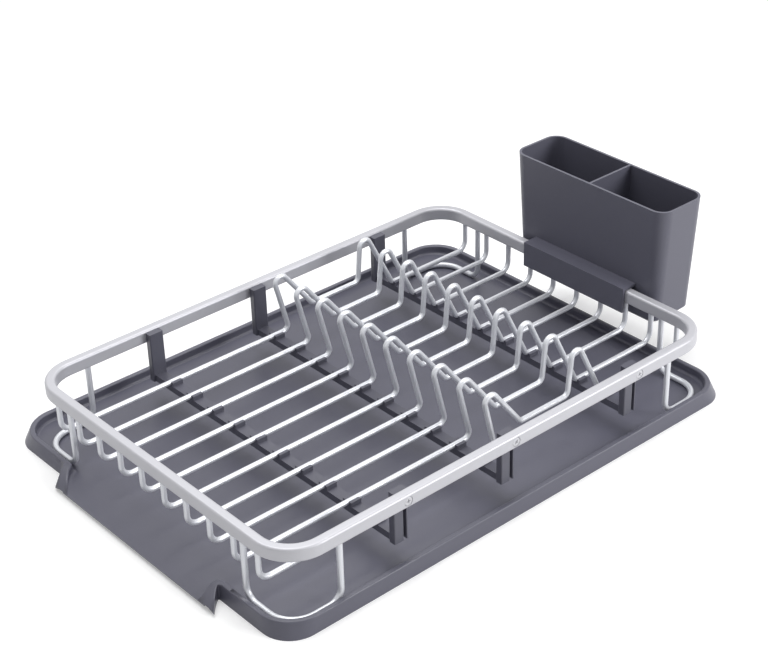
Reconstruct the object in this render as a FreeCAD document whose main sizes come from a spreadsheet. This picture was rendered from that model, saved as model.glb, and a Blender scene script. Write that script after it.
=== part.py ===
import FreeCAD, Part
import math
import os
import re
import Sketcher
from FreeCAD import Rotation, Vector

# Dish rack: a ring of satin aluminium tube, ten bent rods hung across it, three moulded
# cross beams that the rods clip into, four bent corner legs, a drip tray with a pour
# mouth, and a cutlery holder hooked over the right-hand rail.
#
# Frame of the part: origin at the middle of the tray, on the counter. +X runs along the
# long side towards the cutlery holder, +Y to the back and +Z up. Millimetres.

doc = FreeCAD.newDocument("dish_rack")
sheet = doc.addObject("Spreadsheet::Sheet", "Sizes")

# Driving dimensions. Each is a plain number here and a named cell of the sheet below.
known = set(dir()) | {"known"}

# Drip tray
tray_length = 444  # tray, outside at the counter, along X
tray_width = 336  # tray, outside at the counter, along Y
tray_height = 11.5  # counter to the top of the tray's rim
tray_corner = 24  # outside corner radius of the tray in plan, at the counter
rim_corner = 31  # the same radius for the rim, as if it stood over the counter's outline
tray_flare = 2.5  # how far the skirt leans out between the rim and the counter
rim_width = 4  # width of the rim, skirt face to basin wall
rim_round = 1.2  # rounding along the top edges of the rim
tray_wall = 1.5  # wall of skirt, rim and basin side
floor_level = 4  # counter to the top of the tray's floor
floor_wall = 2.2  # thickness of the tray's floor
floor_round = 2.5  # fillet between the floor and the basin's wall
mouth_width = 180  # clear width of the pour mouth at the rim
mouth_shift = -4  # middle of the pour mouth from the middle of the tray, Y
mouth_reach = 13.5  # how far the pour lip stands out past the skirt
mouth_flare = 7  # how far the top of each cheek leans out at the lip
cheek_foot = 12  # how far the foot of each cheek runs in over the floor at the lip
cheek_wall = 2  # thickness of the mouth's two cheeks
cheek_tip = 4  # counter to the top of a cheek at the lip
lip_level = 3.4  # counter to the top of the lip
lip_wall = 2  # thickness of the lip's edge
tray_ribs = 5  # stiffening ribs under the floor
tray_rib_pitch = 60  # spacing of those ribs
tray_rib_length = 380  # length of those ribs

# Top frame
frame_length = 420  # frame, outside, along X
frame_width = 305  # frame, outside, along Y
frame_corner = 32  # outside corner radius of the frame in plan
rail_width = 8  # width of the rail seen from above
rail_height = 11  # height of the rail
rail_round = 2  # rounding of the rail's long edges
rack_shift_x = -5  # middle of the frame from the middle of the tray, X
rack_shift_y = -10.1  # middle of the frame from the middle of the tray, Y
seat_depth = 4  # depth of the blind holes that take the rod ends
seat_slack = 0.05  # radial clearance of a rod in its hole

# Rods across the frame
rod_count = 10  # number of rods
rod_size = 4.2  # diameter of a rod
rod_margin = 33.25  # outside of the frame to the middle of the end rod, along Y
rod_drop = 25  # underside of the rail to the middle of a rod
rod_bend = 9  # bend radius of a rod under the rail, to its middle line
hump_left = 4  # first plate hump, X of its crest from the frame's middle
hump_right = 92  # second plate hump, X of its crest from the frame's middle
hump_height = 50.5  # rod level to the middle line at a hump's crest
hump_bend = 5.5  # bend radius over a crest, to the middle line
saddle_rise = 15  # how far the rod between the humps lies above its own level
hump_one_left = 0.25  # first hump, run of its left flank to +X per step down
hump_one_right = 0.77  # first hump, run of its right flank to +X per step down
hump_two_left = -0.1  # second hump, run of its left flank to +X per step down
hump_two_right = 0.5  # second hump, run of its right flank to +X per step down
foot_bend = 5  # bend radius where a hump leaves the level rod

# Corner legs
leg_size = 4.6  # diameter of a leg's rod
leg_arm_x = 161.5  # leg arm under the long rail, X from the frame's middle
leg_arm_shift = 2.5  # leg arm under the short rail, in from midway between the two end rods
leg_bend = 10  # bend radius where an arm turns into the foot
leg_corner = 21  # radius of the foot's corner in plan
leg_gap = 0.2  # foot of a leg to the tray's floor
rail_stand = 50  # foot of a leg to the underside of the rail

# Cross beams
beam_left_x = -104  # left cross beam, X from the frame's middle
beam_middle_x = -3  # middle cross beam, X from the frame's middle
beam_right_x = 125  # right cross beam, X from the frame's middle
beam_wide = 9  # width of a cross beam
beam_high = 5.5  # height of a cross beam under the rods
beam_wall = 1.6  # wall of a cross beam's channel
clip_long = 9  # length of a rod clip along the beam
clip_rise = 1.3  # top of a clip above the rod's middle line
clip_slack = 0.05  # radial clearance of a rod in its clip
post_wide = 12.5  # width of a beam's end post
post_deep = 6  # depth of an end post
post_round = 1  # corner radius of an end post
post_short = 1.6  # top of the rail to the top of the post
post_gap = 0.1  # rail to post
post_slot = 3  # width of the groove down the post's outer face
post_slot_deep = 3.4  # depth of that groove
post_slot_side = 3.2  # middle of that groove from the middle of the post

# Screws through the long rails
screw_size = 3.5  # shank of a screw
screw_head = 7  # head of a screw
screw_head_high = 1.3  # thickness of the head
screw_grip = 4.5  # length of the shank inside the post
screw_slack = 0.15  # radial clearance of head and shank in the rail
screw_bite = 0.05  # radial clearance of the shank in the post
screw_point = 0.9  # chamfer at the end of the shank

# Cutlery holder
holder_deep = 51  # holder at its rim, along X
holder_long = 162  # holder at its rim, along Y
holder_taper = 3  # how much each side draws in towards the bottom
holder_high = 101  # height of the holder
holder_bevel = 2.5  # bevel round the bottom of the holder
holder_rise = 73  # top of the rail to the holder's rim
holder_corner = 12  # corner radius of the holder in plan
holder_wall = 2  # wall of the holder
holder_floor = 2.5  # bottom of the holder
holder_gap = 1.5  # rail to the holder's wall at the rim
holder_shift = -13.5  # middle of the holder from the frame's middle, Y
divider_shift = -3  # divider from the middle of the holder, Y
slot_wide = 3.5  # drain slot across
slot_long = 28  # drain slot along X
slot_pitch = 11  # spacing of the drain slots
slot_count = 5  # drain slots in each compartment
hook_long = 110  # length of the hook along the rail
hook_wall = 2.4  # thickness of the hook
hook_gap = 0.3  # hook to rail, on top and inside
hook_drop = 8  # how far the hook's flange reaches below the rail

for row, alias in enumerate(sorted(set(dir()) - known), start=1):
    sheet.set("A" + str(row), alias)
    sheet.set("B" + str(row), str(globals()[alias]))
    sheet.setAlias("B" + str(row), alias)
doc.recompute()


def val(alias):
    """The present value of a driving dimension."""
    return float(sheet.get(alias))


def number(text):
    """The present value of a formula over the driving dimensions."""
    return float(sheet.evalExpression(text))


def formula(text):
    """The same formula with each name pointing at the sheet."""
    return re.sub(r"[A-Za-z_]\w*", lambda word: "Sizes." + word.group(), text)


def bind(item, prop, text):
    """Tie a property to a formula over the driving dimensions."""
    item.setExpression(prop, formula(text))


def new_body(label, spot=None):
    """An empty body with its own label, moved to a spot given as three formulas."""
    body = doc.addObject("PartDesign::Body", label)
    body.Label = label
    for axis, text in zip("xyz", spot or ()):
        bind(body, "Placement.Base." + axis, text)
    return body


def plane(body, role):
    """One of the body's own origin planes."""
    return next(item for item in body.Origin.OriginFeatures if item.Role == role)


def new_sketch(body, role, name, offset="0"):
    """A sketch on one of the body's planes, pushed off along the plane's normal."""
    sketch = body.newObject("Sketcher::SketchObject", body.Name + "_" + name)
    sketch.AttachmentSupport = [(plane(body, role), "")]
    sketch.MapMode = "FlatFace"
    bind(sketch, "AttachmentOffset.Base.z", offset)
    return sketch


def fix(sketch, constraint, text):
    """Add a dimension to a sketch and tie it to a formula."""
    index = sketch.addConstraint(constraint)
    bind(sketch, "Constraints[" + str(index) + "]", text)


def rounded_rect(sketch, left, right, front, back, radius):
    """A rectangle with equal round corners between four formulas, all tied."""
    x0, x1, y0, y1, turn = (number(text) for text in (left, right, front, back, radius))
    first = sketch.GeometryCount
    corners = [(x1 - turn, y1 - turn), (x0 + turn, y1 - turn), (x0 + turn, y0 + turn), (x1 - turn, y0 + turn)]
    for quarter, (cx, cy) in enumerate(corners):
        start = quarter * math.pi / 2
        circle = Part.Circle(Vector(cx, cy, 0), Vector(0, 0, 1), turn)
        sketch.addGeometry(Part.ArcOfCircle(circle, start, start + math.pi / 2))
    ends = [((x1 - turn, y1), (x0 + turn, y1)), ((x0, y1 - turn), (x0, y0 + turn)),
            ((x0 + turn, y0), (x1 - turn, y0)), ((x1, y0 + turn), (x1, y1 - turn))]
    for start, end in ends:
        sketch.addGeometry(Part.LineSegment(Vector(*start, 0), Vector(*end, 0)))
    for quarter in range(4):
        arc = first + quarter
        line = first + 4 + quarter
        following = first + (quarter + 1) % 4
        sketch.addConstraint(Sketcher.Constraint("Tangent", arc, 2, line, 1))
        sketch.addConstraint(Sketcher.Constraint("Tangent", line, 2, following, 1))
        if quarter:
            sketch.addConstraint(Sketcher.Constraint("Equal", first, arc))
    for line, kind in ((4, "Horizontal"), (5, "Vertical"), (6, "Horizontal"), (7, "Vertical")):
        sketch.addConstraint(Sketcher.Constraint(kind, first + line))
    fix(sketch, Sketcher.Constraint("Radius", first, turn), radius)
    fix(sketch, Sketcher.Constraint("DistanceY", -1, 1, first + 4, 1, y1), back)
    fix(sketch, Sketcher.Constraint("DistanceX", -1, 1, first + 5, 1, x0), left)
    fix(sketch, Sketcher.Constraint("DistanceY", -1, 1, first + 6, 1, y0), front)
    fix(sketch, Sketcher.Constraint("DistanceX", -1, 1, first + 7, 1, x1), right)


def outline(sketch, points):
    """A closed outline through points given as pairs of formulas, all tied."""
    spots = [Vector(number(x), number(y), 0) for x, y in points]
    first = sketch.GeometryCount
    for index, spot in enumerate(spots):
        sketch.addGeometry(Part.LineSegment(spot, spots[(index + 1) % len(spots)]))
    for index in range(len(spots)):
        following = first + (index + 1) % len(spots)
        sketch.addConstraint(Sketcher.Constraint("Coincident", first + index, 2, following, 1))
    for index, (x, y) in enumerate(points):
        fix(sketch, Sketcher.Constraint("DistanceX", -1, 1, first + index, 1, spots[index].x), x)
        fix(sketch, Sketcher.Constraint("DistanceY", -1, 1, first + index, 1, spots[index].y), y)


def box_outline(sketch, left, right, front, back):
    """A plain rectangle between four formulas."""
    outline(sketch, [(left, front), (right, front), (right, back), (left, back)])


def round_hole(sketch, x, y, across):
    """A circle whose middle and diameter are formulas."""
    spot = Vector(number(x), number(y), 0)
    index = sketch.addGeometry(Part.Circle(spot, Vector(0, 0, 1), number(across) / 2))
    fix(sketch, Sketcher.Constraint("DistanceX", -1, 1, index, 3, spot.x), x)
    fix(sketch, Sketcher.Constraint("DistanceY", -1, 1, index, 3, spot.y), y)
    fix(sketch, Sketcher.Constraint("Diameter", index, number(across)), across)


def pull(body, kind, sketch, length, backwards=False, both_ways=False):
    """A pad or a pocket of a sketch, with its length tied to a formula."""
    feature = body.newObject("PartDesign::" + kind, sketch.Name + "_" + kind.lower())
    feature.Profile = sketch
    feature.Reversed = backwards
    feature.Midplane = both_ways
    bind(feature, "Length", length)
    doc.recompute()
    return feature


def row_of(body, features, count, pitch):
    """Copies of features in a row, one after the other towards the back."""
    pattern = body.newObject("PartDesign::LinearPattern", features[-1].Name + "_row")
    pattern.Originals = features
    pattern.Direction = (plane(body, "XZ_Plane"), [""])
    pattern.Reversed = True
    pattern.Mode = "Spacing"
    bind(pattern, "Occurrences", count)
    bind(pattern, "Offset", pitch)
    body.Tip = pattern
    doc.recompute()
    return pattern


def mirror_of(body, features, role):
    """Copies of features on the far side of one of the body's planes."""
    mirror = body.newObject("PartDesign::Mirrored", features[-1].Name + "_mirror")
    mirror.Originals = features
    mirror.MirrorPlane = (plane(body, role), [""])
    body.Tip = mirror
    doc.recompute()
    return mirror


def round_edges(body, base, wanted, radius):
    """Fillet the edges of a feature that a test picks out."""
    names = ["Edge" + str(place + 1) for place, edge in enumerate(base.Shape.Edges) if wanted(edge)]
    fillet = body.newObject("PartDesign::Fillet", base.Name + "_round")
    fillet.Base = (base, names)
    bind(fillet, "Radius", radius)
    doc.recompute()
    return fillet


def lies_at(edge, height):
    """True for an edge that lies wholly at one height."""
    box = edge.BoundBox
    return abs(box.ZMin - height) < 1e-4 and abs(box.ZMax - height) < 1e-4


# The tray: a shallow basin with a rolled rim, open along the left side where a mouth
# carries the water off over the edge of the sink.
tray = new_body("drip_tray")


def around(name, level, inset, corner="rim_corner"):
    """The tray's outline at a level, drawn in by an inset."""
    sketch = new_sketch(tray, "XY_Plane", name, level)
    rounded_rect(sketch, "-tray_length / 2 + " + inset, "tray_length / 2 - " + inset,
                 "-tray_width / 2 + " + inset, "tray_width / 2 - " + inset, corner + " - " + inset)
    return sketch


def join(body, kind, sections):
    """A ruled loft through sketches, added to a body or taken from it."""
    feature = body.newObject("PartDesign::" + kind, sections[0].Name + "_loft")
    feature.Profile = sections[0]
    feature.Sections = sections[1:]
    feature.Ruled = True
    doc.recompute()
    return feature


join(tray, "AdditiveLoft", [around("foot", "0", "0", "tray_corner"), around("top", "tray_height", "tray_flare")])
join(tray, "SubtractiveLoft", [around("inside_foot", "0", "tray_wall", "tray_corner"),
                               around("inside_top", "tray_height - tray_wall", "( tray_flare + tray_wall )")])
basin_block = around("basin_block", "floor_level - floor_wall", "( tray_flare + rim_width - tray_wall )")
pull(tray, "Pad", basin_block, "tray_height - floor_level + floor_wall")
basin = around("basin", "tray_height", "( tray_flare + rim_width )")
hollow = pull(tray, "Pocket", basin, "tray_height - floor_level")
low = number("floor_level")
floor_edges = round_edges(tray, hollow, lambda edge: lies_at(edge, low), "floor_round")
high = number("tray_height")
round_edges(tray, floor_edges, lambda edge: lies_at(edge, high), "rim_round")
rib = new_sketch(tray, "XY_Plane", "floor_rib")
box_outline(rib, "-tray_rib_length / 2", "tray_rib_length / 2",
            "-( tray_ribs - 1 ) * tray_rib_pitch / 2 - tray_wall / 2",
            "-( tray_ribs - 1 ) * tray_rib_pitch / 2 + tray_wall / 2")
ribs = pull(tray, "Pad", rib, "floor_level - floor_wall / 2")
row_of(tray, [ribs], "tray_ribs", "tray_rib_pitch")

# The mouth: the rim stops, a sill closes the roll, and cheeks and floor run out to the lip.
BASIN_SIDE = "( -tray_length / 2 + tray_flare + rim_width )"
gap = new_sketch(tray, "XY_Plane", "mouth_gap", "tray_height + rim_round")
box_outline(gap, "-tray_length / 2 - rim_width", BASIN_SIDE + " + floor_round",
            "mouth_shift - mouth_width / 2", "mouth_shift + mouth_width / 2")
pull(tray, "Pocket", gap, "tray_height + rim_round - floor_level")
sill = new_sketch(tray, "XY_Plane", "mouth_sill")
box_outline(sill, "-tray_length / 2 + tray_wall", BASIN_SIDE,
            "mouth_shift - mouth_width / 2 - cheek_wall", "mouth_shift + mouth_width / 2 + cheek_wall")
pull(tray, "Pad", sill, "floor_level")


def trough(name, along, inside, foot, wall_top, floor_top, under):
    """Cross-section of the mouth: two cheeks, each on a foot, and the floor between them."""
    section = new_sketch(tray, "YZ_Plane", name, along)
    half = [(inside + " + cheek_wall", under), (inside + " + cheek_wall", wall_top), (inside, wall_top),
            (inside + " - " + foot, floor_top)]
    outline(section, [("mouth_shift + " + side, level) for side, level in half]
            + [("mouth_shift - ( " + side + " )", level) for side, level in reversed(half)])
    return section


join(tray, "AdditiveLoft",
     [trough("mouth_root", BASIN_SIDE + " - rim_width / 2", "mouth_width / 2", "rim_round",
             "tray_height - rim_round", "floor_level", "0"),
      trough("mouth_lip", "-tray_length / 2 - mouth_reach", "mouth_width / 2 + mouth_flare", "cheek_foot",
             "cheek_tip", "lip_level", "lip_level - lip_wall")])

# Levels that several pieces share, as formulas: the foot of the legs stands on the tray's
# floor, and the rail, the rods and the beams are stacked from there.
RAIL_UNDER = "( floor_level + leg_gap + rail_stand )"
ROD_LEVEL = "( floor_level + leg_gap + rail_stand - rod_drop )"
BEAM_TOP = "( floor_level + leg_gap + rail_stand - rod_drop - rod_size / 2 )"
SHORT_RAIL = "( frame_length / 2 - rail_width / 2 )"
LONG_RAIL = "( frame_width / 2 - rail_width / 2 )"
ROD_PITCH = "( ( frame_width - 2 * rod_margin ) / ( rod_count - 1 ) )"
FIRST_ROD = "( rod_margin - frame_width / 2 )"
LEG_ARM_Y = "( frame_width / 2 - rod_margin - leg_arm_shift - " + ROD_PITCH + " / 2 )"
BEAMS = {"left": "beam_left_x", "middle": "beam_middle_x", "right": "beam_right_x"}
rack_spot = ("rack_shift_x", "rack_shift_y", "0")

# The frame: one bar bent into a ring, drilled from below for rods and legs and through
# its long sides for the screws.
frame = new_body("top_frame", rack_spot)
ring = new_sketch(frame, "XY_Plane", "ring", RAIL_UNDER)
rounded_rect(ring, "-frame_length / 2", "frame_length / 2", "-frame_width / 2", "frame_width / 2",
             "frame_corner")
rounded_rect(ring, "-frame_length / 2 + rail_width", "frame_length / 2 - rail_width",
             "-frame_width / 2 + rail_width", "frame_width / 2 - rail_width", "frame_corner - rail_width")
bar = pull(frame, "Pad", ring, "rail_height")
under_rail = number(RAIL_UNDER)
over_rail = number(RAIL_UNDER + " + rail_height")
round_edges(frame, bar, lambda edge: lies_at(edge, under_rail) or lies_at(edge, over_rail), "rail_round")

SEAT = "( rod_size + 2 * seat_slack )"
rod_seats = new_sketch(frame, "XY_Plane", "rod_seats", RAIL_UNDER)
for side in ("-", ""):
    round_hole(rod_seats, side + SHORT_RAIL, FIRST_ROD, SEAT)
drilled = pull(frame, "Pocket", rod_seats, "seat_depth", backwards=True)
row_of(frame, [drilled], "rod_count", ROD_PITCH)
leg_seats = new_sketch(frame, "XY_Plane", "leg_seats", RAIL_UNDER)
for side in ("-", ""):
    for end in ("-", ""):
        round_hole(leg_seats, side + SHORT_RAIL, end + LEG_ARM_Y, "leg_size + 2 * seat_slack")
        round_hole(leg_seats, side + "leg_arm_x", end + LONG_RAIL, "leg_size + 2 * seat_slack")
pull(frame, "Pocket", leg_seats, "seat_depth", backwards=True)

SCREW_LEVEL = "( floor_level + leg_gap + rail_stand + rail_height / 2 )"
for name, outward in (("front", "frame_width / 2"), ("back", "-frame_width / 2")):
    shanks = new_sketch(frame, "XZ_Plane", name + "_shanks", outward)
    heads = new_sketch(frame, "XZ_Plane", name + "_heads", outward)
    for beam_x in BEAMS.values():
        round_hole(shanks, beam_x, SCREW_LEVEL, "screw_size + 2 * screw_slack")
        round_hole(heads, beam_x, SCREW_LEVEL, "screw_head + 2 * screw_slack")
    pull(frame, "Pocket", shanks, "rail_width", backwards=name == "back")
    pull(frame, "Pocket", heads, "screw_head_high + screw_slack", backwards=name == "back")


def bent_rod(points, bends, across):
    """A round rod along a polyline whose inner corners are tangent arcs of the given radii."""
    edges = []
    start = points[0]
    for place in range(1, len(points) - 1):
        corner = points[place]
        back = (points[place - 1] - corner).normalize()
        ahead = (points[place + 1] - corner).normalize()
        half = back.getAngle(ahead) / 2
        reach = bends[place - 1] / math.tan(half)
        bisector = (back + ahead).normalize()
        middle = corner + bisector * (bends[place - 1] / math.sin(half) - bends[place - 1])
        enter = corner + back * reach
        leave = corner + ahead * reach
        edges.append(Part.LineSegment(start, enter).toShape())
        edges.append(Part.Arc(enter, middle, leave).toShape())
        start = leave
    edges.append(Part.LineSegment(start, points[-1]).toShape())
    path = Part.Wire(edges)
    ring_edge = Part.makeCircle(across / 2, points[0], points[1] - points[0])
    return path.makePipeShell([Part.Wire([ring_edge])], True, False)


def crest(run_left, run_right, middle, top, bend):
    """Where the flanks of a hump would meet if the rod were not rounded over its crest."""
    left = Vector(run_left, 0, -1).normalize()
    right = Vector(run_right, 0, -1).normalize()
    halfway = (left + right).normalize()
    return Vector(middle, 0, top - bend) - halfway * (bend / math.sin(left.getAngle(right) / 2))


def down_flank(peak, run, level):
    """The point at a level on a flank that runs sideways by so much for each step down."""
    return Vector(peak.x + run * (peak.z - level), 0, level)


def rod_route():
    """Middle line of a rod: up into the left rail, over both humps, up into the right rail."""
    level = number(ROD_LEVEL)
    seat = number(RAIL_UNDER) + val("seat_depth") - val("seat_slack")
    side = number(SHORT_RAIL)
    saddle = level + val("saddle_rise")
    top = level + val("hump_height")
    one = crest(val("hump_one_left"), val("hump_one_right"), val("hump_left"), top, val("hump_bend"))
    two = crest(val("hump_two_left"), val("hump_two_right"), val("hump_right"), top, val("hump_bend"))
    points = [Vector(-side, 0, seat), Vector(-side, 0, level),
              down_flank(one, val("hump_one_left"), level), one,
              down_flank(one, val("hump_one_right"), saddle),
              down_flank(two, val("hump_two_left"), saddle), two,
              down_flank(two, val("hump_two_right"), level),
              Vector(side, 0, level), Vector(side, 0, seat)]
    under, over, foot = val("rod_bend"), val("hump_bend"), val("foot_bend")
    return points, [under, foot, over, foot, foot, over, foot, under]


def free_piece(label, shape, spot):
    """A piece whose form is computed, placed like the bodies are."""
    item = doc.addObject("Part::Feature", label)
    item.Label = label
    item.Shape = shape
    for axis, text in zip("xyz", spot):
        bind(item, "Placement.Base." + axis, text)
    return item


# Ten rods, the rearmost first, all bent alike.
pieces = [tray, frame]
route, route_bends = rod_route()
rod_shape = bent_rod(route, route_bends, val("rod_size"))
for place in range(int(val("rod_count"))):
    row = "rack_shift_y - " + FIRST_ROD + " - " + str(place) + " * " + ROD_PITCH
    pieces.append(free_piece("rack_rod_" + str(place + 1), rod_shape, ("rack_shift_x", row, "0")))


def leg_route(side_x, side_y):
    """Middle line of a corner leg: short-rail arm down, round the corner, long-rail arm up."""
    seat = number(RAIL_UNDER) + val("seat_depth") - val("seat_slack")
    foot = val("floor_level") + val("leg_gap") + val("leg_size") / 2
    far_x, far_y = side_x * number(SHORT_RAIL), side_y * number(LONG_RAIL)
    arm_x, arm_y = side_x * val("leg_arm_x"), side_y * number(LEG_ARM_Y)
    points = [Vector(far_x, arm_y, seat), Vector(far_x, arm_y, foot), Vector(far_x, far_y, foot),
              Vector(arm_x, far_y, foot), Vector(arm_x, far_y, seat)]
    return points, [val("leg_bend"), val("leg_corner"), val("leg_bend")]


for end, side_y in (("back", 1), ("front", -1)):
    for side, side_x in (("left", -1), ("right", 1)):
        route, route_bends = leg_route(side_x, side_y)
        shape = bent_rod(route, route_bends, val("leg_size"))
        pieces.append(free_piece("corner_leg_" + end + "_" + side, shape, rack_spot))

# A cross beam: a channel under the rods with a clip for each, and a post at each end that
# stands up inside the long rail and takes the screw.
INSIDE = "( frame_width / 2 - rail_width - post_gap )"
CLIP_TOP = "( floor_level + leg_gap + rail_stand - rod_drop + clip_rise )"


def cross_beam(label, beam_x):
    """One moulded beam with its ten clips and two posts."""
    body = new_body(label, ("rack_shift_x + " + beam_x, "rack_shift_y", "0"))
    web = new_sketch(body, "XY_Plane", "web", BEAM_TOP + " - beam_high")
    box_outline(web, "-beam_wide / 2", "beam_wide / 2", "-" + INSIDE, INSIDE)
    pull(body, "Pad", web, "beam_high")
    clip = new_sketch(body, "XY_Plane", "clip", BEAM_TOP + " - beam_wall")
    box_outline(clip, "-beam_wide / 2", "beam_wide / 2",
                FIRST_ROD + " - clip_long / 2", FIRST_ROD + " + clip_long / 2")
    raised = pull(body, "Pad", clip, CLIP_TOP + " - " + BEAM_TOP + " + beam_wall")
    row_of(body, [raised], "rod_count", ROD_PITCH)
    post = new_sketch(body, "XY_Plane", "post", BEAM_TOP + " - beam_high")
    rounded_rect(post, "-post_wide / 2", "post_wide / 2", "-" + INSIDE, "-" + INSIDE + " + post_deep",
                 "post_round")
    stands = RAIL_UNDER + " + rail_height - post_short - " + BEAM_TOP + " + beam_high"
    upright = pull(body, "Pad", post, stands)
    mirror_of(body, [upright], "XZ_Plane")
    bed = new_sketch(body, "YZ_Plane", "bed")
    round_hole(bed, FIRST_ROD, ROD_LEVEL, "rod_size + 2 * clip_slack")
    groove = pull(body, "Pocket", bed, "post_wide", both_ways=True)
    row_of(body, [groove], "rod_count", ROD_PITCH)
    channel = new_sketch(body, "XY_Plane", "channel", BEAM_TOP + " - beam_high")
    box_outline(channel, "-beam_wide / 2 + beam_wall", "beam_wide / 2 - beam_wall",
                "-" + INSIDE + " + post_deep", INSIDE + " - post_deep")
    pull(body, "Pocket", channel, "beam_high - beam_wall", backwards=True)
    slot = new_sketch(body, "XY_Plane", "post_slot", BEAM_TOP + " - beam_high")
    box_outline(slot, "post_slot_side - post_slot / 2", "post_slot_side + post_slot / 2",
                "-" + INSIDE + " - post_round", "-" + INSIDE + " + post_slot_deep")
    slotted = pull(body, "Pocket", slot, RAIL_UNDER + " - " + BEAM_TOP + " + beam_high", backwards=True)
    mirror_of(body, [slotted], "XZ_Plane")
    pilot = new_sketch(body, "XZ_Plane", "pilot", INSIDE)
    round_hole(pilot, "0", SCREW_LEVEL, "screw_size + 2 * screw_bite")
    bored = pull(body, "Pocket", pilot, "screw_grip + screw_bite")
    mirror_of(body, [bored], "XZ_Plane")
    return body


for name, beam_x in BEAMS.items():
    pieces.append(cross_beam("cross_beam_" + name, beam_x))

# Screws: a flat head flush with the rail and a shank into the post.


def rail_screw(label, beam_x, side):
    """One screw, turned about its own axis and then laid across the rail."""
    row = "rack_shift_y + ( " + side + "1 ) * frame_width / 2"
    body = new_body(label, ("rack_shift_x + " + beam_x, row, SCREW_LEVEL))
    body.Placement.Rotation = Rotation(Vector(1, 0, 0), 90 if side == "" else -90)
    turned = new_sketch(body, "XZ_Plane", "profile")
    reach = "( rail_width + post_gap + screw_grip )"
    outline(turned, [("0", "0"), ("screw_head / 2", "0"), ("screw_head / 2", "screw_head_high"),
                     ("screw_size / 2", "screw_head_high"), ("screw_size / 2", reach + " - screw_point"),
                     ("screw_size / 2 - screw_point", reach), ("0", reach)])
    spin = body.newObject("PartDesign::Revolution", label + "_turned")
    spin.Profile = turned
    spin.ReferenceAxis = (turned, ["V_Axis"])
    doc.recompute()
    return body


for end, side in (("front", "-"), ("back", "")):
    for name, beam_x in BEAMS.items():
        pieces.append(rail_screw("rail_screw_" + end + "_" + name, beam_x, side))

# The cutlery holder: a tapered box with a divider and slots in its floor, hooked over the
# right-hand rail.
HOLDER_X = "( rack_shift_x + frame_length / 2 + holder_gap + holder_deep / 2 )"
HOLDER_BOTTOM = "( floor_level + leg_gap + rail_stand + rail_height + holder_rise - holder_high )"
holder = new_body("cutlery_holder", (HOLDER_X, "rack_shift_y + holder_shift", HOLDER_BOTTOM))


def loft(kind, name, *levels):
    """A loft through sections of the holder, each a level, four sides and maybe a corner radius."""
    sections = []
    for place, (level, *sides) in enumerate(levels):
        section = new_sketch(holder, "XY_Plane", name + "_" + str(place), level)
        draw = box_outline if len(sides) == 4 else rounded_rect
        draw(section, *sides)
        sections.append(section)
    return join(holder, kind, sections)


DEEP = "holder_deep / 2"
LONG = "holder_long / 2"
loft("AdditiveLoft", "outside",
     ("0", "-" + DEEP + " + holder_bevel + holder_taper", DEEP + " - holder_bevel - holder_taper",
      "-" + LONG + " + holder_bevel + holder_taper * 2", LONG + " - holder_bevel - holder_taper * 2",
      "holder_corner - holder_bevel - holder_taper"),
     ("holder_bevel", "-" + DEEP + " + holder_taper", DEEP + " - holder_taper",
      "-" + LONG + " + holder_taper * 2", LONG + " - holder_taper * 2", "holder_corner - holder_taper"),
     ("holder_high", "-" + DEEP, DEEP, "-" + LONG, LONG, "holder_corner"))
FAR_END = "( " + LONG + " - holder_wall )"
LOW_END = "( " + LONG + " - holder_wall - holder_taper * 2 )"
INNER = "( " + DEEP + " - holder_wall )"
loft("SubtractiveLoft", "inside",
     ("holder_floor", "-" + INNER + " + holder_taper", INNER + " - holder_taper", "-" + LOW_END, LOW_END,
      "holder_corner - holder_wall - holder_taper"),
     ("holder_high", "-" + INNER, INNER, "-" + FAR_END, FAR_END, "holder_corner - holder_wall"))
across = "( " + DEEP + " - holder_wall / 2 )"
sides = ("divider_shift - holder_wall / 2", "divider_shift + holder_wall / 2")
loft("AdditiveLoft", "divider",
     ("holder_floor / 2", "-" + across + " + holder_taper", across + " - holder_taper", *sides),
     ("holder_high", "-" + across, across, *sides))
for name, side, end in (("near", "-", sides[0]), ("far", "", sides[1])):
    middle = "( " + side + LOW_END + " + " + end + " ) / 2 - ( slot_count - 1 ) * slot_pitch / 2"
    slots = new_sketch(holder, "XY_Plane", name + "_slots")
    rounded_rect(slots, "-slot_long / 2", "slot_long / 2", middle + " - slot_wide / 2",
                 middle + " + slot_wide / 2", "slot_wide / 2 - seat_slack")
    cut = pull(holder, "Pocket", slots, "holder_floor + holder_wall", backwards=True)
    row_of(holder, [cut], "slot_count", "slot_pitch")

# The hook: a ledge from the holder's wall over the rail, and a flange down its far side.
HOOK_UNDER = "( holder_high - holder_rise + hook_gap )"
WALL_AT = "( -" + DEEP + " + holder_taper )"
RAIL_BACK = "( -" + DEEP + " - holder_gap - rail_width - hook_gap )"
hook = new_sketch(holder, "XZ_Plane", "hook")
outline(hook, [(WALL_AT, HOOK_UNDER), (RAIL_BACK, HOOK_UNDER),
               (RAIL_BACK, HOOK_UNDER + " - hook_gap - rail_height - hook_drop"),
               (RAIL_BACK + " - hook_wall", HOOK_UNDER + " - hook_gap - rail_height - hook_drop"),
               (RAIL_BACK + " - hook_wall", HOOK_UNDER + " + hook_wall"),
               (WALL_AT, HOOK_UNDER + " + hook_wall")])
pull(holder, "Pad", hook, "hook_long", both_ways=True)
pieces.append(holder)

doc.recompute()
for item in doc.Objects:
    if "Invalid" in item.State or "Error" in item.State:
        raise RuntimeError(item.Name + " failed: " + ", ".join(item.State))
os.makedirs("parts", exist_ok=True)
for piece in pieces:
    shape = piece.Shape
    if shape.isNull() or not shape.isValid():
        raise RuntimeError(piece.Label + " has no sound shape")
    shape.exportStep(os.path.join("parts", piece.Label + ".step"))
    print(piece.Label, len(shape.Solids), round(shape.Volume), "mm3")
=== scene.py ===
import math
import bmesh
import bpy
from mathutils import Matrix, Vector


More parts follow.
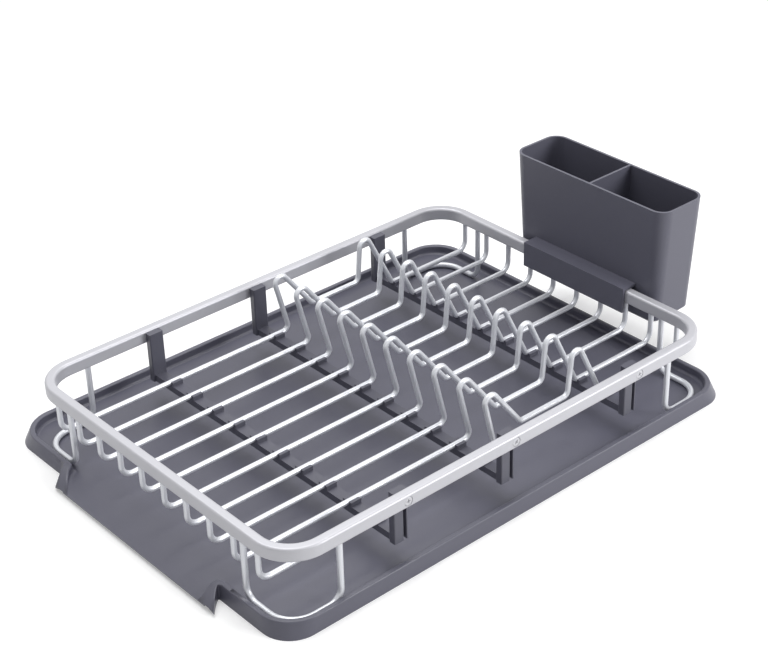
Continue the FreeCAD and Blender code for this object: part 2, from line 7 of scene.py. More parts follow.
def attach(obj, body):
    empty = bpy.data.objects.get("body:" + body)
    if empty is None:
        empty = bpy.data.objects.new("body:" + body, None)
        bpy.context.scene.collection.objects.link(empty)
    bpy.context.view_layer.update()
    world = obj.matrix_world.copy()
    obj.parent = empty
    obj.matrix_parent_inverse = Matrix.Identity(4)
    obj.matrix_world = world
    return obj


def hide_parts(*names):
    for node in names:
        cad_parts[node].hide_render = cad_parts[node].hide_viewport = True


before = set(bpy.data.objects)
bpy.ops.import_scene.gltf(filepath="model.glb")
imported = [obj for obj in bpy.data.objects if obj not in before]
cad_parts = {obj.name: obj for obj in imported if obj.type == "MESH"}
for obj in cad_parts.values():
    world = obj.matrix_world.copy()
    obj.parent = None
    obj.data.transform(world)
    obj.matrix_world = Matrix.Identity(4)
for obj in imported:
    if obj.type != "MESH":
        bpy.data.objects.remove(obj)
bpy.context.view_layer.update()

# The counter top: a smooth, nearly white board that the rack is set down on.
# It keeps the soft shadow under the tray; the wall behind it is plain white.
board_colour = (0.80, 0.80, 0.80, 1)
board_glow = 0.30
board_reach = 12.0
white_wall = (1, 1, 1, 1)
daylight = 0.34


def add_node(tree, kind, group=None, **settings):
    """A node of that kind, or a group placed in the tree, with its inputs set by name."""
    node = tree.nodes.new(kind)
    if group:
        node.node_tree = group
    for name, value in settings.items():
        node.inputs[name.replace("_", " ")].default_value = value
    return node


def add_sum(tree, how, second=None):
    """A node that works out one number from two, the second given here or linked."""
    node = tree.nodes.new("ShaderNodeMath")
    node.operation = how
    if second is not None:
        node.inputs[1].default_value = second
    return node


def join(tree, *links):
    """Links, each from a node and its output to a node and its input."""
    for source, out, target, into in links:
        tree.links.new(source.outputs[out], target.inputs[into])


def placed(label, data):
    """A new object in the scene that holds this mesh, lamp or lens."""
    thing = bpy.data.objects.new(label, data)
    bpy.context.scene.collection.objects.link(thing)
    return thing


def seen_ray(tree):
    """1 for a ray from the eye, a mirror or a glass, 0 for light that falls on things."""
    path = tree.nodes.new("ShaderNodeLightPath")
    eye_or_mirror = add_sum(tree, "MAXIMUM")
    any_of_them = add_sum(tree, "MAXIMUM")
    join(tree, (path, "Is Camera Ray", eye_or_mirror, 0),
         (path, "Is Glossy Ray", eye_or_mirror, 1),
         (eye_or_mirror, 0, any_of_them, 0),
         (path, "Is Transmission Ray", any_of_them, 1))
    return any_of_them


board_finish = bpy.data.materials.new("counter_board")
board_finish.use_nodes = True
board = board_finish.node_tree
board.nodes.clear()
matt = add_node(board, "ShaderNodeBsdfDiffuse", Color=board_colour)
glow = add_node(board, "ShaderNodeEmission", Color=white_wall)
lift = add_sum(board, "MULTIPLY", board_glow)
both = board.nodes.new("ShaderNodeAddShader")
board_out = board.nodes.new("ShaderNodeOutputMaterial")
join(board, (seen_ray(board), 0, lift, 0), (lift, 0, glow, "Strength"),
     (matt, 0, both, 0), (glow, 0, both, 1), (both, 0, board_out, "Surface"))

board_corners = [(x * board_reach, y * board_reach, 0)
                 for x, y in ((-1, -1), (1, -1), (1, 1), (-1, 1))]
board_mesh = bpy.data.meshes.new("counter_board")
board_mesh.from_pydata(board_corners, [], [(0, 1, 2, 3)])
board_mesh.materials.append(board_finish)
board_top = placed("counter_board", board_mesh)

world = bpy.data.worlds.new("white_wall")
world.use_nodes = True
sky = world.node_tree
sky.nodes.clear()
wall = add_node(sky, "ShaderNodeBackground", Color=white_wall)
strength = add_node(sky, "ShaderNodeMapRange", To_Min=daylight, To_Max=1.0)
sky_out = sky.nodes.new("ShaderNodeOutputWorld")
join(sky, (seen_ray(sky), 0, strength, "Value"), (strength, "Result", wall, "Strength"),
     (wall, 0, sky_out, "Surface"))
bpy.context.scene.world = world

# The lamps: one broad soft panel over the rack, a little to the back, and a smaller one
# low at the front right, as in a product studio. Each is turned to a spot near the rack.
for name, spot, aim, side, power in (
        ("over", (0.10, 0.35, 1.5), (0, 0, 0), 1.3, 20),
        ("side", (1.0, -1.6, 0.8), (0, 0, 0.05), 0.9, 24)):
    lamp = bpy.data.lights.new("lamp_" + name, "AREA")
    lamp.shape = "SQUARE"
    lamp.size = side
    lamp.energy = power
    stand = placed("lamp_" + name, lamp)
    stand.location = spot
    backwards = Vector(spot) - Vector(aim)
    stand.rotation_euler = backwards.to_track_quat("Z", "Y").to_euler()

# The eye: a long lens at the front left of the rack, looking down on it by about thirty
# degrees and rolled a little, with the rack in the middle of its view.
eye_place = (-0.7336, -0.8750, 0.7589)
eye_angles = (-40.442, 30.957, -1.659)
focal_length, sensor_width = 82.68, 36

azimuth, elevation, roll = (math.radians(angle) for angle in eye_angles)
across = Vector((math.cos(azimuth), math.sin(azimuth), 0))
towards = Vector((math.sin(azimuth) * math.cos(elevation),
                  -math.cos(azimuth) * math.cos(elevation),
                  math.sin(elevation)))
upright = towards.cross(across)
eye_x = across * math.cos(roll) + upright * math.sin(roll)
eye_y = upright * math.cos(roll) - across * math.sin(roll)
eye_axes = Matrix((eye_x, eye_y, towards)).transposed().to_4x4()
lens = bpy.data.cameras.new("eye")
lens.sensor_fit = "HORIZONTAL"
lens.sensor_width = sensor_width
lens.lens = focal_length
eye = placed("eye", lens)
eye.matrix_world = Matrix.Translation(eye_place) @ eye_axes
bpy.context.scene.camera = eye
bpy.context.scene.view_settings.view_transform = "Standard"

# The drip tray: one injection moulding in dark grey plastic, satin from a spark-eroded
# mould. At the left its rim turns out on both sides of a pour mouth, widens and runs
# down to the lip as a cheek, and the floor goes straight out between the two cheeks.
mm = 0.001
plastic_grey = (0.108, 0.108, 0.142)
clouds_per_metre, smears_per_metre = 9, 22
grain_strength, rubbed_duller = 0.35, 0.25
same_spot, same_plane, sharp_edge = 2e-6, math.radians(0.5), math.radians(38)

basin_left, mouth_rear, mouth_front = -0.213, 0.101, -0.106
floor_top, floor_under, rim_top, skirt_left = 0.004, 0.0018, 0.0115, -0.222
floor_thinning = 0.05
cleared_top, cleared_under = 0.013, -0.001
across_rim = (0.0, 0.0025, 0.0065, 0.009)

# Stations of the cheeks, in millimetres, from the rim to the lip: the skirt's foot, the
# rim's outer and inner edge and the foot of its inner wall in plan, then the height of
# the rim's top and how far the skirt's foot is raised.
rear_cheek = [
    (((-222, 101), (-219.5, 101), (-215.5, 101), (-213, 101)), 11.5, 0),
    (((-222, 98.3), (-219.5, 97), (-215.7, 92.8), (-213.2, 90.6)), 11.5, 0),
    (((-222.6, 96.8), (-220.6, 95.9), (-217.6, 90.2), (-215.8, 87.6)), 11.4, 0),
    (((-225.2, 95.2), (-223.6, 93.8), (-221.6, 87.3), (-220.4, 84.2)), 10.8, 0.2),
    (((-229.6, 91.4), (-228.6, 90.2), (-227.8, 80.2), (-227.2, 77.2)), 8.4, 0.9),
    (((-235.5, 85.8), (-235.5, 85), (-235.5, 69.8), (-235.5, 67.6)), 4.3, 2)]
front_cheek = [
    (((-222, -106), (-219.5, -106), (-215.5, -106), (-213, -106)), 11.5, 0),
    (((-222, -98.6), (-219.5, -97.4), (-215.6, -95.6), (-213, -95)), 11.5, 0),
    (((-222.2, -96.8), (-220.2, -95.4), (-216.4, -91.9), (-213.8, -89.6)), 11.5, 0),
    (((-223, -96.6), (-221.6, -95), (-219, -89.3), (-217.4, -86.4)), 11.4, 0),
    (((-225.4, -98.6), (-224.2, -97), (-223, -88.9), (-222.2, -86)), 10.4, 0.3),
    (((-229.8, -103), (-229, -101.6), (-229, -90.5), (-228.6, -87.8)), 7.8, 1),
    (((-235.5, -109.4), (-235.5, -108.7), (-235.5, -92.6), (-235.5, -90.4)), 4.3, 2)]
cleared_outline = [(-245, -106), (-213, -106), (-213, 101), (-245, 101)]
floor_rear_start, floor_front_start, floor_tuck = (-213, 91), (-213, -96), 0.6


def new_tree(name, kind, inputs, outputs):
    """A node tree whose inputs and outputs are given by name and what they carry."""
    tree = bpy.data.node_groups.new(name, kind)
    for way, sockets in (("INPUT", inputs), ("OUTPUT", outputs)):
        for socket, carries in sockets:
            tree.interface.new_socket(
                socket, in_out=way, socket_type="NodeSocket" + carries)
    return tree, tree.nodes.new("NodeGroupInput"), tree.nodes.new("NodeGroupOutput")


def surface_grain():
    """A close, even texture and a broad, faint unevenness, for any finish."""
    group, entry, leave = new_tree(
        "surface_grain", "ShaderNodeTree",
        [("Place", "Vector"), ("Grain per metre", "Float"), ("Cloud per metre", "Float")],
        [("Grain", "Float"), ("Cloud", "Float")])
    grain = add_node(group, "ShaderNodeTexNoise", Detail=2.0, Roughness=0.6)
    cloud = add_node(group, "ShaderNodeTexNoise", Detail=3.0, Roughness=0.55)
    join(group, (entry, "Place", grain, "Vector"), (entry, "Place", cloud, "Vector"),
         (entry, "Grain per metre", grain, "Scale"),
         (entry, "Cloud per metre", cloud, "Scale"),
         (grain, "Fac", leave, "Grain"), (cloud, "Fac", leave, "Cloud"))
    return group


def rubbed_places():
    """Where hands and water have passed: scattered faint smears, 0 to 1."""
    group, entry, leave = new_tree(
        "rubbed_places", "ShaderNodeTree",
        [("Place", "Vector"), ("Smears per metre", "Float"), ("Amount", "Float")],
        [("Rub", "Float")])
    drift = add_node(group, "ShaderNodeTexNoise",
                     Detail=4.0, Roughness=0.7, Distortion=1.2)
    ramp = add_node(group, "ShaderNodeMapRange", From_Min=0.52, From_Max=0.72)
    scaled = add_sum(group, "MULTIPLY")
    join(group, (entry, "Place", drift, "Vector"),
         (entry, "Smears per metre", drift, "Scale"), (drift, "Fac", ramp, "Value"),
         (ramp, "Result", scaled, 0), (entry, "Amount", scaled, 1),
         (scaled, 0, leave, "Rub"))
    return group


grain_group = surface_grain()
rub_group = rubbed_places()


def finish(name, colour, metal, rough, grain_size, grain_depth, uneven, rub):
    """A finish whose colour drifts a little, whose rubbed places are duller, and whose
    grain lies in the normal."""
    made = bpy.data.materials.new(name)
    made.use_nodes = True
    tree = made.node_tree
    skin = tree.nodes["Principled BSDF"]
    skin.inputs["Metallic"].default_value = metal
    spot = tree.nodes.new("ShaderNodeTexCoord")
    grain = add_node(tree, "ShaderNodeGroup", grain_group,
                     Grain_per_metre=grain_size, Cloud_per_metre=clouds_per_metre)
    smear = add_node(tree, "ShaderNodeGroup", rub_group,
                     Smears_per_metre=smears_per_metre, Amount=rub)
    shade = tree.nodes.new("ShaderNodeMix")
    shade.data_type = "RGBA"
    for end, sign in (("A", -1), ("B", 1)):
        drifted = tuple(part * (1 + sign * uneven) for part in colour)
        shade.inputs[end].default_value = drifted + (1,)
    dull = add_node(tree, "ShaderNodeMapRange",
                    To_Min=rough, To_Max=rough + rubbed_duller)
    bump = add_node(tree, "ShaderNodeBump",
                    Strength=grain_strength, Distance=grain_depth)
    join(tree, (spot, "Object", grain, "Place"), (spot, "Object", smear, "Place"),
         (grain, "Cloud", shade, "Factor"), (shade, "Result", skin, "Base Color"),
         (smear, "Rub", dull, "Value"), (dull, "Result", skin, "Roughness"),
         (grain, "Grain", bump, "Height"), (bump, "Normal", skin, "Normal"))
    return made


def merged_copy(node):
    """The node's own shape as one closed mesh, its flat faces whole."""
    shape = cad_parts[node].data.copy()
    work = bmesh.new()
    work.from_mesh(shape)
    bmesh.ops.remove_doubles(work, verts=work.verts, dist=same_spot)
    bmesh.ops.dissolve_limit(
        work, angle_limit=same_plane, verts=work.verts, edges=work.edges)
    work.to_mesh(shape)
    work.free()
    return shape


def moulding(label, node, body, material, shape, edge=0):
    """That shape in one finish, in the node's place on a body. Its sharp edges are eased
    by a width, or stay sharp where none is given."""
    shape.name = label
    shape.materials.clear()
    shape.materials.append(material)
    for polygon in shape.polygons:
        polygon.material_index = 0
        polygon.use_smooth = True
    piece = placed(label, shape)
    if edge:
        ease = piece.modifiers.new("eased_edges", "BEVEL")
        ease.width = edge
        ease.segments = 2
        ease.limit_method = "ANGLE"
        ease.angle_limit = sharp_edge
        ease.miter_outer = "MITER_ARC"
    else:
        shape.set_sharp_from_angle(angle=sharp_edge)
    flat = piece.modifiers.new("flat_faces", "WEIGHTED_NORMAL")
    flat.keep_sharp = True
    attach(piece, body)
    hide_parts(node)
    return piece


def shaped(shape, tool, how):
    """A mesh with another one added to it or taken from it."""
    base, other = placed("base", shape), placed("other", tool)
    step = base.modifiers.new("step", "BOOLEAN")
    step.object = other
    step.operation = how
    step.solver = "EXACT"
    graph = bpy.context.evaluated_depsgraph_get()
    result = bpy.data.meshes.new_from_object(base.evaluated_get(graph))
    for thing in (base, other):
        bpy.data.objects.remove(thing)
    return result


def add_walls(work, rings):
    """Walls through rings of as many points each, capped at both ends."""
    loops = [[work.verts.new(spot) for spot in ring] for ring in rings]
    for one, two in zip(loops, loops[1:]):
        for step in range(len(one)):
            after = (step + 1) % len(one)
            work.faces.new((one[step], one[after], two[after], two[step]))
    work.faces.new(loops[0])
    work.faces.new(loops[-1][::-1])


def plain_mesh(label, work):
    """The mesh of what was worked on, with its faces turned outwards."""
    bmesh.ops.recalc_face_normals(work, faces=work.faces)
    mesh = bpy.data.meshes.new(label)
    work.to_mesh(mesh)
    work.free()
    return mesh


def solid(label, rings):
    """A closed mesh through rings of as many points each."""
    work = bmesh.new()
    add_walls(work, rings)
    return plain_mesh(label, work)


def slab(label, outline, top, under, thinning=0):
    """A slab of that outline in millimetres, thinned from below towards the lip."""
    upper = [(x * mm, y * mm, top) for x, y in outline]
    lower = [(x, y, under + thinning * (basin_left - x)) for x, y, level in upper]
    return solid(label, [lower, upper])


def rim_section(shape, level_y):
    """The outline of the tray's left rim where a plane across Y cuts it, in order."""
    work = bmesh.new()
    work.from_mesh(shape)
    cut = bmesh.ops.bisect_plane(
        work, geom=work.verts[:] + work.edges[:] + work.faces[:],
        plane_co=(0, level_y, 0), plane_no=(0, 1, 0), clear_inner=True)["geom_cut"]
    edges = {edge for edge in cut if isinstance(edge, bmesh.types.BMEdge)}
    start = min((spot for edge in edges for spot in edge.verts),
                key=lambda spot: (spot.co.x, spot.co.z))
    chain, used = [start], set()
    while True:
        here = chain[-1]
        onward = [edge for edge in here.link_edges if edge in edges and edge not in used]
        if not onward:
            break
        edge = onward[0]
        if here is start:
            edge = max(onward, key=lambda edge: edge.other_vert(start).co.z)
        used.add(edge)
        chain.append(edge.other_vert(here))
    spots = [(spot.co.x, spot.co.z) for spot in chain[:-1]]
    work.free()
    return spots


def open_basin(section):
    """The section up to where the flat floor begins, closed by a straight line there."""
    beyond = [index for index, (x, z) in enumerate(section) if x > basin_left]
    floor_edge = [(basin_left, floor_top), (basin_left, floor_under)]
    return section[:beyond[0]] + floor_edge + section[beyond[-1] + 1:]


def carried(section, stations):
    """The rim's section carried through the stations of a cheek."""
    rings = []
    for plan, top, raised in stations:
        ring = []
        rise = top * mm - floor_top
        for x, z in section:
            run = x - skirt_left
            part = max(index for index in range(3)
                       if index == 0 or run >= across_rim[index])
            width = across_rim[part + 1] - across_rim[part]
            share = min((run - across_rim[part]) / width, 1.0)
            spot = Vector(plan[part]).lerp(Vector(plan[part + 1]), share) * mm
            if z > floor_top:
                level = floor_top + (z - floor_top) * rise / (rim_top - floor_top)
            else:
                level = z + (raised * mm) * (1 - z / floor_top)
            ring.append((spot.x, spot.y, level))
        rings.append(ring)
    return rings


tray_shape = merged_copy("drip_tray")
left_rim = [open_basin(rim_section(tray_shape, level_y))
            for level_y in (mouth_rear, mouth_front)]
cleared = slab("cleared", cleared_outline, cleared_top, cleared_under)
tray_shape = shaped(tray_shape, cleared, "DIFFERENCE")
floor_outline = (
    [floor_rear_start]
    + [(plan[3][0], plan[3][1] + floor_tuck) for plan, top, raised in rear_cheek[1:]]
    + [(plan[3][0], plan[3][1] - floor_tuck) for plan, top, raised in front_cheek[:0:-1]]
    + [floor_front_start])
mouth_floor = slab("mouth_floor", floor_outline, floor_top, floor_under, floor_thinning)
tray_shape = shaped(tray_shape, mouth_floor, "UNION")
for section, cheek in zip(left_rim, (rear_cheek, front_cheek)):
    tray_shape = shaped(tray_shape, solid("cheek", carried(section, cheek)), "UNION")
tray_plastic = finish(
    "tray_plastic", plastic_grey, metal=0.0, rough=0.36,
    grain_size=2600, grain_depth=0.00006, uneven=0.05, rub=0.35)
tray = moulding("moulded_tray", "drip_tray", "tray", tray_plastic, tray_shape)

# The frame: a flat-sided aluminium bar bent into a ring and anodised, matt and almost
# white, with its long edges rounded and its underside drilled for rods and legs.
bar_colour = (0.53, 0.53, 0.565)
frame_finish = finish(
    "anodised_bar", bar_colour, metal=0.30, rough=0.42,
    grain_size=3800, grain_depth=0.00003, uneven=0.02, rub=0.25)
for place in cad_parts["top_frame"].material_slots:
    place.material = frame_finish

# The rods: ten lengths of drawn aluminium wire, bent over formers and pressed into the
# drilled holes of the frame. Each one runs level, rises over a leaning hump, crosses a
# raised saddle, rises over a second hump and runs level again to the other side.
rack_x, rack_y = -5 * mm, -10.1 * mm
rod_size = 4.2 * mm
rod_count, rod_pitch = 10, 26.5 * mm
rail_under, seat_depth = 54.2 * mm, 3.95 * mm
seat_top = rail_under + seat_depth
rod_level, saddle_high, hump_high, end_x = 29.2 * mm, 15 * mm, 50.5 * mm, 206 * mm
end_bend, foot_bend, hump_bend = 9 * mm, 5 * mm, 5.5 * mm
# Each hump: the X of its crest, and how far its left and its right side lean out for
# each step down.
left_hump, right_hump = (4 * mm, 0.25, 0.77), (92 * mm, -0.1, 0.5)
bend_steps, bar_sides = 9, 20
wire_colour = (0.72, 0.735, 0.775)
wire_finish = finish(
    "drawn_wire", wire_colour, metal=0.40, rough=0.34,
    grain_size=3200, grain_depth=0.00003, uneven=0.03, rub=0.3)


def bar_tree():
    """Bars along the edges given, their corners bent, repeated in a row."""
    tree, entry, leave = new_tree(
        "bent_bars", "GeometryNodeTree",
        [("Runs", "Geometry"), ("Bar size", "Float"), ("Copies", "Int"),
         ("Row step", "Vector"), ("Finish", "Material")],
        [("Bars", "Geometry")])
    tree.is_modifier = True
    line = tree.nodes.new("GeometryNodeMeshToCurve")
    bend = add_node(tree, "GeometryNodeInputNamedAttribute", Name="bend")
    turned = tree.nodes.new("GeometryNodeFilletCurve")
    turned.mode = "POLY"
    turned.inputs["Count"].default_value = bend_steps
    turned.inputs["Limit Radius"].default_value = True
    half = add_sum(tree, "MULTIPLY", 0.5)
    ring = add_node(tree, "GeometryNodeCurvePrimitiveCircle", Resolution=bar_sides)
    sweep = add_node(tree, "GeometryNodeCurveToMesh", Fill_Caps=True)
    row = tree.nodes.new("GeometryNodeMeshLine")
    spread = tree.nodes.new("GeometryNodeInstanceOnPoints")
    whole = tree.nodes.new("GeometryNodeRealizeInstances")
    smooth = tree.nodes.new("GeometryNodeSetShadeSmooth")
    coat = tree.nodes.new("GeometryNodeSetMaterial")
    join(tree, (entry, "Runs", line, "Mesh"), (line, "Curve", turned, "Curve"),
         (bend, "Attribute", turned, "Radius"), (entry, "Bar size", half, 0),
         (half, 0, ring, "Radius"), (turned, "Curve", sweep, "Curve"),
         (ring, "Curve", sweep, "Profile Curve"), (entry, "Copies", row, "Count"),
         (entry, "Row step", row, "Offset"), (row, "Mesh", spread, "Points"),
         (sweep, "Mesh", spread, "Instance"), (spread, "Instances", whole, "Geometry"),
         (whole, "Geometry", smooth, "Geometry"), (smooth, "Geometry", coat, "Geometry"),
         (entry, "Finish", coat, "Material"), (coat, "Geometry", leave, "Bars"))
    return tree


def grown(label, base, tree, body, **settings):
    """The plain mesh that a node tree makes of a base, riding on a body."""
    seed = placed(label + "_base", base)
    maker = seed.modifiers.new("maker", "NODES")
    maker.node_group = tree
    for item in tree.interface.items_tree:
        key = item.name.replace(" ", "_")
        if item.in_out == "INPUT" and key in settings:
            maker[item.identifier] = settings[key]
    seed.update_tag()
    graph = bpy.context.evaluated_depsgraph_get()
    mesh = bpy.data.meshes.new_from_object(seed.evaluated_get(graph))
    mesh.name = label
    bpy.data.objects.remove(seed)
    piece = placed(label, mesh)
    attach(piece, body)
    return piece


def runs_mesh(label, routes):
    """Straight runs through points, each point with the bend radius it is turned at."""
    mesh = bpy.data.meshes.new(label)
    spots, edges, bends = [], [], []
    for route in routes:
        first = len(spots)
        edges += [(first + step, first + step + 1) for step in range(len(route) - 1)]
        spots += [spot for spot, radius in route]
        bends += [radius for spot, radius in route]
    mesh.from_pydata(spots, edges, [])
    mesh.attributes.new("bend", "FLOAT", "POINT").data.foreach_set("value", bends)
    return mesh


def hump_peak(crest_x, left_lean, right_lean):
    """The sharp corner, in X and Z, of a hump whose rounded crest is at the given X."""
    left, right = (Vector((lean, -1)).normalized() for lean in (left_lean, right_lean))
    halfway = (left + right).normalized()
    crest = Vector((crest_x, rod_level + hump_high - hump_bend))
    return crest - halfway * (hump_bend / math.sin(left.angle(right) / 2))


def hump_foot(peak, level, lean):
    """Where a hump's side, leaning by that much for each step down, meets a level."""
    return peak.x + lean * (peak.y - level), level


def rod_line():
    """One rod from seat to seat, at the front row."""
    saddle = rod_level + saddle_high
    left_peak, right_peak = hump_peak(*left_hump), hump_peak(*right_hump)
    flat = [((-end_x, seat_top), 0), ((-end_x, rod_level), end_bend),
            (hump_foot(left_peak, rod_level, left_hump[1]), foot_bend),
            (left_peak, hump_bend),
            (hump_foot(left_peak, saddle, left_hump[2]), foot_bend),
            (hump_foot(right_peak, saddle, right_hump[1]), foot_bend),
            (right_peak, hump_bend),
            (hump_foot(right_peak, rod_level, right_hump[2]), foot_bend),
            ((end_x, rod_level), end_bend), ((end_x, seat_top), 0)]
    front = rack_y - (rod_count - 1) / 2 * rod_pitch
    return [((x + rack_x, front, z), radius) for (x, z), radius in flat]


bars = bar_tree()
rods = grown("plate_rods", runs_mesh("plate_rods", [rod_line()]), bars, "rack",
             Bar_size=rod_size, Copies=rod_count, Row_step=(0, rod_pitch, 0),
             Finish=wire_finish)
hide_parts(*["rack_rod_" + str(place) for place in range(1, rod_count + 1)])

# The corner legs: four lengths of a slightly thicker wire of the same kind. Each comes
# down from the short rail, turns the corner on the tray's floor and goes up into the
# long rail, and the rack stands on them.
leg_size = 4.6 * mm
leg_stands_on = 4.2 * mm
foot_level = leg_stands_on + leg_size / 2
leg_y, arm_x, arm_y = 148.5 * mm, 161.5 * mm, 103.5 * mm
arm_bend, corner_bend = 10 * mm, 21 * mm

leg_lines = []
for side_x in (-1, 1):
    for side_y in (-1, 1):
        outer_x, inner_x = rack_x + side_x * end_x, rack_x + side_x * arm_x
        outer_y, inner_y = rack_y + side_y * leg_y, rack_y + side_y * arm_y
        leg_lines.append([((outer_x, inner_y, seat_top), 0),
                          ((outer_x, inner_y, foot_level), arm_bend),
                          ((outer_x, outer_y, foot_level), corner_bend),
                          ((inner_x, outer_y, foot_level), arm_bend),
                          ((inner_x, outer_y, seat_top), 0)])
legs = grown("corner_legs", runs_mesh("corner_legs", leg_lines), bars, "rack",
             Bar_size=leg_size, Copies=1, Row_step=(0, 0, 0), Finish=wire_finish)
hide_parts(*["corner_leg_" + end + "_" + side
                    for end in ("back", "front") for side in ("left", "right")])

# The cross beams: three mouldings in the same dark plastic, each with ten clips that snap
# round the rods and a post at each end for its screw.
beam_grey = (0.092, 0.092, 0.120)
beam_edge = 0.0004
beam_plastic = finish(
    "beam_plastic", beam_grey, metal=0.0, rough=0.36,
    grain_size=2600, grain_depth=0.00005, uneven=0.04, rub=0.3)
for side in ("left", "middle", "right"):
    beam = moulding("clip_beam_" + side, "cross_beam_" + side, "rack", beam_plastic,
                    merged_copy("cross_beam_" + side), beam_edge)

# The screws: six short steel ones with a flat head and a cross recess, driven through the
# rail into the posts until the head is level with the rail's face.
screw_x = (-104 * mm, -3 * mm, 125 * mm)
screw_y, screw_level, screw_twist = 152.5 * mm, 59.7 * mm, 0.7
screw_sides, seam_gap = 32, 1e-6
# The profile is radius and depth, in millimetres. The cross is cut from a depth above the
# face to one below it, where it is drawn in to a share of its width.
screw_profile = [(0, 0.05), (2.6, 0.05), (3.25, 0.14), (3.5, 0.4), (3.5, 1.3),
                 (1.75, 1.3), (1.75, 11.7), (0.9, 12.5), (0, 12.5)]
slot_wide, slot_long = 0.95, 4.2
slot_rings = ((-0.4, 1.0), (1.1, 0.45))
recess_reach, recess_inner_y = 2.4 * mm, 151.2 * mm
face_y, face_margin, face_normal = 152.45 * mm, 0.3 * mm, 0.95
# The recess colour is a darker steel that paints shade into the cross recess of each
# screw.
steel_colour, recess_shade_colour = (0.56, 0.56, 0.59), (0.30, 0.30, 0.31)
steel_finish = finish(
    "screw_steel", steel_colour, metal=0.5, rough=0.34,
    grain_size=4200, grain_depth=0.00002, uneven=0.05, rub=0.4)
recess_shade_finish = finish(
    "recess_dark", recess_shade_colour, metal=0.8, rough=0.5,
    grain_size=4200, grain_depth=0.00002, uneven=0.05, rub=0.2)


def screw_mesh():
    """One screw along +Y, its head's face at Y = 0, turned from its profile."""
    work = bmesh.new()
    spots = [work.verts.new((radius * mm, depth * mm, 0))
             for radius, depth in screw_profile]
    edges = [work.edges.new(pair) for pair in zip(spots, spots[1:])]
    bmesh.ops.spin(work, geom=spots + edges, cent=(0, 0, 0), axis=(0, 1, 0),
                   angle=math.tau, steps=screw_sides, use_duplicate=False)
    bmesh.ops.remove_doubles(work, verts=work.verts, dist=seam_gap)
    return plain_mesh("rail_screws", work)


def cross_cutter():
    """Two crossed wedges, wide at the face and drawn in below it."""
    work = bmesh.new()
    for wide, long in ((slot_wide, slot_long), (slot_long, slot_wide)):
        add_walls(work, [
            [(x * wide * scale / 2 * mm, depth * mm, z * long * scale / 2 * mm)
             for x, z in ((-1, -1), (1, -1), (1, 1), (-1, 1))]
            for depth, scale in slot_rings])
    return plain_mesh("recess_cutter", work)


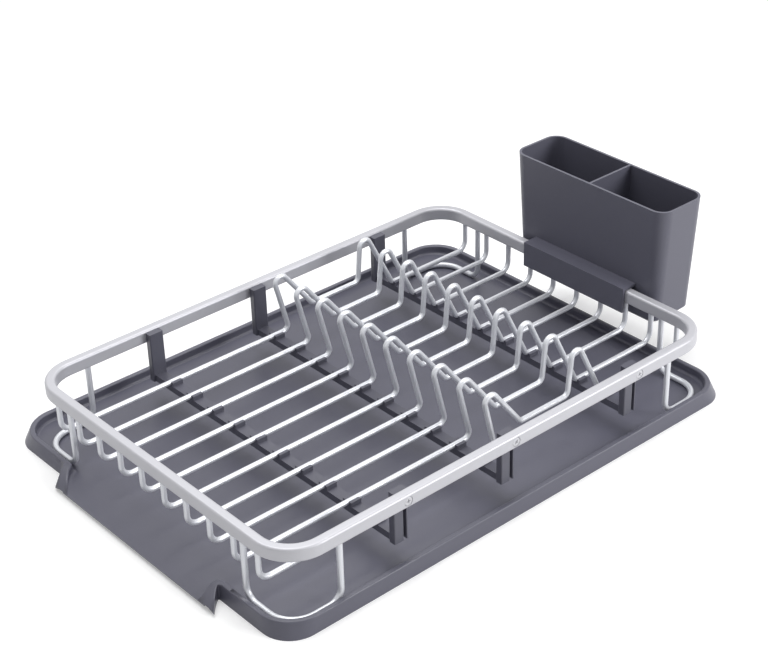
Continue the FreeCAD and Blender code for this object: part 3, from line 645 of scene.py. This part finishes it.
def screw_tree():
    """A cross cut into the screw, then one screw at each beam's end, heads outwards."""
    tree, entry, leave = new_tree(
        "screws_on_rails", "GeometryNodeTree",
        [("Screw", "Geometry"), ("Cutter", "Object"), ("Left", "Float"),
         ("Middle", "Float"), ("Right", "Float"), ("Front", "Float"),
         ("Back", "Float"), ("Level", "Float"), ("Finish", "Material")],
        [("Screws", "Geometry")])
    tree.is_modifier = True
    cutter = tree.nodes.new("GeometryNodeObjectInfo")
    cut = tree.nodes.new("GeometryNodeMeshBoolean")
    cut.operation = "DIFFERENCE"
    cut.solver = "EXACT"
    cut.inputs["Self Intersection"].default_value = True
    count = add_node(tree, "GeometryNodePoints", Count=2 * len(screw_x))
    index = tree.nodes.new("GeometryNodeInputIndex")
    column = add_sum(tree, "MODULO", len(screw_x))
    pick = tree.nodes.new("GeometryNodeIndexSwitch")
    pick.data_type = "FLOAT"
    pick.index_switch_items.new()
    is_back = tree.nodes.new("FunctionNodeCompare")
    is_back.data_type = "INT"
    is_back.operation = "GREATER_THAN"
    is_back.inputs[3].default_value = len(screw_x) - 1
    side = tree.nodes.new("GeometryNodeSwitch")
    side.input_type = "FLOAT"
    turn = tree.nodes.new("GeometryNodeSwitch")
    turn.input_type = "FLOAT"
    turn.inputs["True"].default_value = math.pi
    twist = add_sum(tree, "MULTIPLY", screw_twist)
    spot = tree.nodes.new("ShaderNodeCombineXYZ")
    angle = tree.nodes.new("ShaderNodeCombineXYZ")
    place = tree.nodes.new("GeometryNodeInstanceOnPoints")
    whole = tree.nodes.new("GeometryNodeRealizeInstances")
    coat = tree.nodes.new("GeometryNodeSetMaterial")
    join(tree, (entry, "Cutter", cutter, "Object"), (entry, "Screw", cut, "Mesh 1"),
         (cutter, "Geometry", cut, "Mesh 2"), (index, 0, column, 0),
         (column, 0, pick, "Index"), (entry, "Left", pick, "0"),
         (entry, "Middle", pick, "1"), (entry, "Right", pick, "2"),
         (index, 0, is_back, 2), (is_back, 0, side, "Switch"),
         (entry, "Front", side, "False"), (entry, "Back", side, "True"),
         (is_back, 0, turn, "Switch"), (pick, 0, spot, "X"), (side, 0, spot, "Y"),
         (entry, "Level", spot, "Z"), (spot, 0, count, "Position"),
         (index, 0, twist, 0), (twist, 0, angle, "Y"), (turn, 0, angle, "Z"),
         (count, 0, place, "Points"), (cut, "Mesh", place, "Instance"),
         (angle, 0, place, "Rotation"), (place, 0, whole, "Geometry"),
         (whole, 0, coat, "Geometry"), (entry, "Finish", coat, "Material"),
         (coat, 0, leave, "Screws"))
    return tree


cutter = placed("recess_cutter", cross_cutter())
screws = grown("rail_screws", screw_mesh(), screw_tree(), "rack", Cutter=cutter,
               Left=rack_x + screw_x[0], Middle=rack_x + screw_x[1],
               Right=rack_x + screw_x[2], Front=rack_y - screw_y,
               Back=rack_y + screw_y, Level=screw_level, Finish=steel_finish)
bpy.data.objects.remove(cutter)
# The faces inside each cross recess take that darker steel, as painted shade in the
# recess.
screws.data.materials.append(recess_shade_finish)
for polygon in screws.data.polygons:
    centre, out = polygon.center, abs(polygon.center.y - rack_y)
    in_face = abs(polygon.normal.y) >= face_normal and abs(out - face_y) <= face_margin
    axis_near = min(math.hypot(centre.x - rack_x - x, centre.z - screw_level)
                    for x in screw_x)
    if axis_near < recess_reach and out > recess_inner_y and not in_face:
        polygon.material_index = 1
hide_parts(*["rail_screw_" + end + "_" + side for end in ("front", "back")
                      for side in ("left", "middle", "right")])

# The holder: a thin-walled box in the dark plastic, drawn in towards the bottom for the
# mould, with a divider, drain slots in its floor and a hook over the right-hand rail.
holder_edge = 0.0006
holder_plastic = finish(
    "holder_plastic", plastic_grey, metal=0.0, rough=0.40,
    grain_size=2600, grain_depth=0.00006, uneven=0.05, rub=0.3)
holder = moulding("hooked_holder", "cutlery_holder", "holder", holder_plastic,
                  merged_copy("cutlery_holder"), holder_edge)
